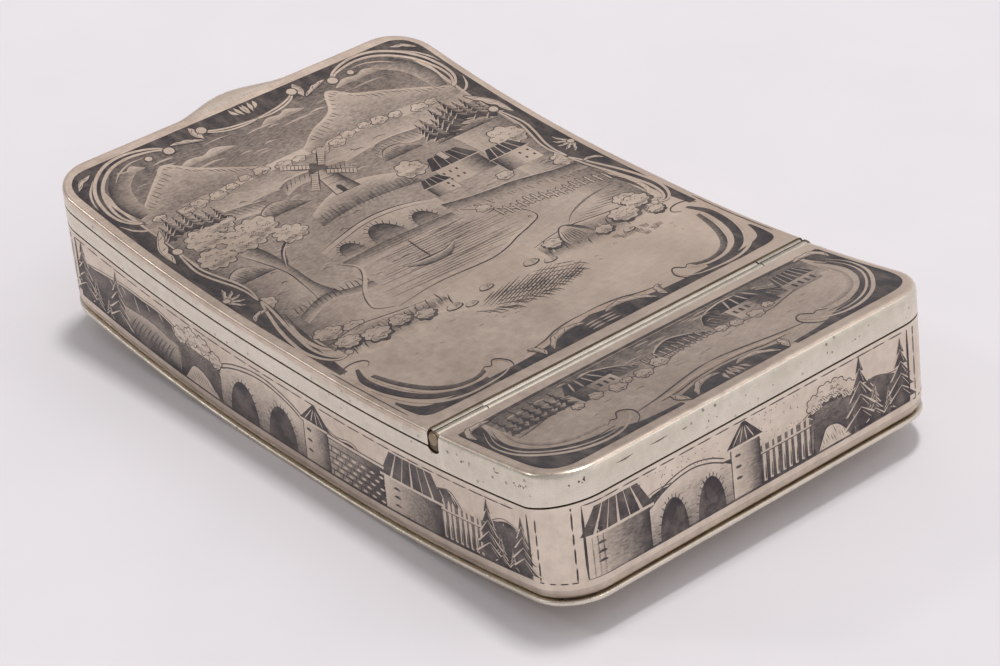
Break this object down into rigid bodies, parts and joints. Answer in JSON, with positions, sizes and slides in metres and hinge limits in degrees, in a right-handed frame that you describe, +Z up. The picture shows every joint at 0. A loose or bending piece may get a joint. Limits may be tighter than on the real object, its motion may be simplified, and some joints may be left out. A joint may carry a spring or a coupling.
{
  "type": "snuff box",
  "caption": "Flat curved pocket snuff box in nielloed silver with rounded corners, a flush hinged lid with a thumb lip, a fixed end cover and a gilt inside.",
  "frame": {"origin": "centre of the bounding box on the surface that the closed box rests on", "axes": "+X along the box towards the fixed end cover, +Y across it, +Z up; the hinge axis runs along Y"},
  "size_m": [0.088, 0.0514, 0.0185],
  "materials": {
    "silver": "old silver, satin, warm grey tarnish",
    "worn_silver": "silver worn bright on rims and edges",
    "gilt_silver": "fire gilt, satin",
    "brass": "dull brass",
    "niello": "blue-black niello, satin, flush with the silver"
  },
  "bodies": {
    "body": {"bottom_plate": "silver", "wall_band": "silver", "collar_band": "worn_silver", "inner_bezel": "gilt_silver", "end_cover": "silver", "body_hinge_seat": "gilt_silver", "body_knuckle_left": "worn_silver", "body_knuckle_right": "worn_silver", "hinge_pin": "brass", "hinge_plug_left": "brass", "hinge_plug_right": "brass"},
    "lid": {"lid_plate": "silver", "lid_rim": "worn_silver", "lid_hinge_seat": "gilt_silver", "lid_knuckle": "worn_silver", "thumb_piece": "worn_silver"}
  },
  "joints": [
    {"name": "lid_hinge", "type": "hinge", "parent": "body", "child": "lid", "pos_m": [0.02472, 0, 0.01485], "axis": [0, 1, 0], "range_deg": [0, 82]}
  ]
}
